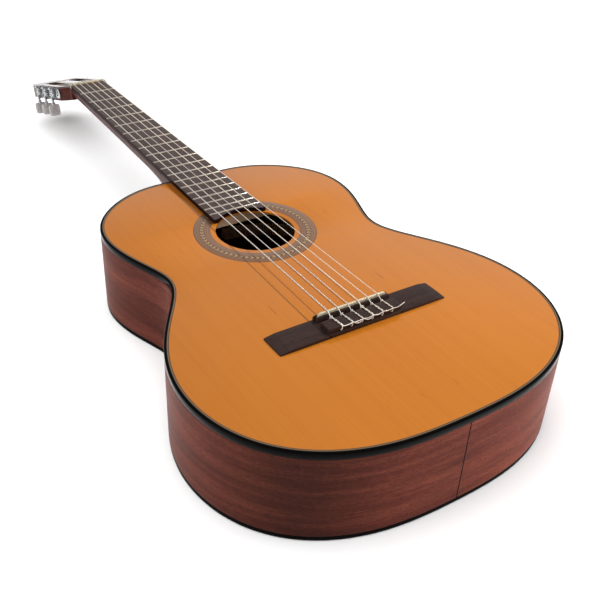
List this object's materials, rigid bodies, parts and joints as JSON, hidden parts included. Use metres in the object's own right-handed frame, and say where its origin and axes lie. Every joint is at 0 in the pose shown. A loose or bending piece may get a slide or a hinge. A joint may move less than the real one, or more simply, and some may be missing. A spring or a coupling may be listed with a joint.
{
  "type": "classical guitar",
  "caption": "Classical guitar lying on its back: cedar-topped sound box, slotted head with worm-geared tuners, nylon strings from the tie bridge to the rollers.",
  "frame": {"origin": "middle of the bounding box at the underside of the back, which lies on the ground plane", "axes": "+X to the treble side, +Y from the tail to the head, +Z out of the soundboard"},
  "size_m": [0.3778, 0.9854, 0.1097],
  "materials": {
    "cedar": "gloss lacquer",
    "rosette_mosaic": "gloss lacquer",
    "mahogany_body": "gloss lacquer",
    "mahogany_neck": "satin gloss lacquer",
    "rosewood": "oiled satin",
    "bridge_rosewood": "oiled satin",
    "rosewood_veneer": "gloss lacquer",
    "inner_wood": "raw sanded",
    "brace_spruce": "raw sanded",
    "binding": "gloss",
    "bone": "polished satin",
    "fret_metal": "polished nickel silver",
    "tuner_metal": "polished",
    "gear_brass": "satin",
    "pearloid": "gloss pearl",
    "nylon_string": "clear satin",
    "wound_string": "fine wound"
  },
  "bodies": {
    "root": {"fret_01": "fret_metal", "fret_02": "fret_metal", "fret_03": "fret_metal", "fret_04": "fret_metal", "fret_05": "fret_metal", "fret_06": "fret_metal", "fret_07": "fret_metal", "fret_08": "fret_metal", "fret_09": "fret_metal", "fret_10": "fret_metal", "fret_11": "fret_metal", "fret_12": "fret_metal", "fret_13": "fret_metal", "fret_14": "fret_metal", "fret_15": "fret_metal", "fret_16": "fret_metal", "fret_17": "fret_metal", "fret_18": "fret_metal", "fret_19": "fret_metal", "string_1": "nylon_string", "string_2": "nylon_string", "string_3": "nylon_string", "string_4": "wound_string", "string_5": "wound_string", "string_6": "wound_string", "tuner_plate_bass": "tuner_metal", "tuner_plate_treble": "tuner_metal", "soundboard": "cedar", "rosette": "rosette_mosaic", "back_plate": "mahogany_body", "side_bass": "mahogany_body", "side_treble": "mahogany_body", "top_binding": "binding", "back_binding": "binding", "tail_block": "inner_wood", "soundboard_bracing": "brace_spruce", "neck": "mahogany_neck", "headstock_veneer": "rosewood_veneer", "fretboard": "rosewood", "nut": "bone", "saddle": "bone", "bridge": "bridge_rosewood"},
    "knob_bass_1": {"worm_shaft_bass_1": "tuner_metal", "tuner_button_bass_1": "pearloid"},
    "roller_bass_1": {"string_roller_bass_1": "gear_brass"},
    "knob_bass_2": {"worm_shaft_bass_2": "tuner_metal", "tuner_button_bass_2": "pearloid"},
    "roller_bass_2": {"string_roller_bass_2": "gear_brass"},
    "knob_bass_3": {"worm_shaft_bass_3": "tuner_metal", "tuner_button_bass_3": "pearloid"},
    "roller_bass_3": {"string_roller_bass_3": "gear_brass"},
    "knob_treble_1": {"worm_shaft_treble_1": "tuner_metal", "tuner_button_treble_1": "pearloid"},
    "roller_treble_1": {"string_roller_treble_1": "gear_brass"},
    "knob_treble_2": {"worm_shaft_treble_2": "tuner_metal", "tuner_button_treble_2": "pearloid"},
    "roller_treble_2": {"string_roller_treble_2": "gear_brass"},
    "knob_treble_3": {"worm_shaft_treble_3": "tuner_metal", "tuner_button_treble_3": "pearloid"},
    "roller_treble_3": {"string_roller_treble_3": "gear_brass"}
  },
  "joints": [
    {"name": "knob_turn_bass_1", "type": "hinge", "parent": "root", "child": "knob_bass_1", "pos_m": [-0.04045, 0.37341, 0.07894], "axis": [0, 0.2854, 0.9584], "continuous": true},
    {"name": "roller_turn_bass_1", "type": "hinge", "parent": "root", "child": "roller_bass_1", "pos_m": [-0.04045, 0.36574, 0.08122], "axis": [1, 0, 0], "continuous": true},
    {"name": "knob_turn_bass_2", "type": "hinge", "parent": "root", "child": "knob_bass_2", "pos_m": [-0.04045, 0.40695, 0.06895], "axis": [0, 0.2854, 0.9584], "continuous": true},
    {"name": "roller_turn_bass_2", "type": "hinge", "parent": "root", "child": "roller_bass_2", "pos_m": [-0.04045, 0.39928, 0.07124], "axis": [1, 0, 0], "continuous": true},
    {"name": "knob_turn_bass_3", "type": "hinge", "parent": "root", "child": "knob_bass_3", "pos_m": [-0.04045, 0.44049, 0.05897], "axis": [0, 0.2854, 0.9584], "continuous": true},
    {"name": "roller_turn_bass_3", "type": "hinge", "parent": "root", "child": "roller_bass_3", "pos_m": [-0.04045, 0.43283, 0.06125], "axis": [1, 0, 0], "continuous": true},
    {"name": "knob_turn_treble_1", "type": "hinge", "parent": "root", "child": "knob_treble_1", "pos_m": [0.04045, 0.37341, 0.07894], "axis": [0, 0.2854, 0.9584], "continuous": true},
    {"name": "roller_turn_treble_1", "type": "hinge", "parent": "root", "child": "roller_treble_1", "pos_m": [0.04045, 0.36574, 0.08122], "axis": [1, 0, 0], "continuous": true},
    {"name": "knob_turn_treble_2", "type": "hinge", "parent": "root", "child": "knob_treble_2", "pos_m": [0.04045, 0.40695, 0.06895], "axis": [0, 0.2854, 0.9584], "continuous": true},
    {"name": "roller_turn_treble_2", "type": "hinge", "parent": "root", "child": "roller_treble_2", "pos_m": [0.04045, 0.39928, 0.07124], "axis": [1, 0, 0], "continuous": true},
    {"name": "knob_turn_treble_3", "type": "hinge", "parent": "root", "child": "knob_treble_3", "pos_m": [0.04045, 0.44049, 0.05897], "axis": [0, 0.2854, 0.9584], "continuous": true},
    {"name": "roller_turn_treble_3", "type": "hinge", "parent": "root", "child": "roller_treble_3", "pos_m": [0.04045, 0.43283, 0.06125], "axis": [1, 0, 0], "continuous": true}
  ],
  "couplings": [
    {"joint": "roller_turn_bass_1", "follows": "knob_turn_bass_1", "ratio": 0.071429},
    {"joint": "roller_turn_bass_2", "follows": "knob_turn_bass_2", "ratio": 0.071429},
    {"joint": "roller_turn_bass_3", "follows": "knob_turn_bass_3", "ratio": 0.071429},
    {"joint": "roller_turn_treble_1", "follows": "knob_turn_treble_1", "ratio": -0.071429},
    {"joint": "roller_turn_treble_2", "follows": "knob_turn_treble_2", "ratio": -0.071429},
    {"joint": "roller_turn_treble_3", "follows": "knob_turn_treble_3", "ratio": -0.071429}
  ]
}
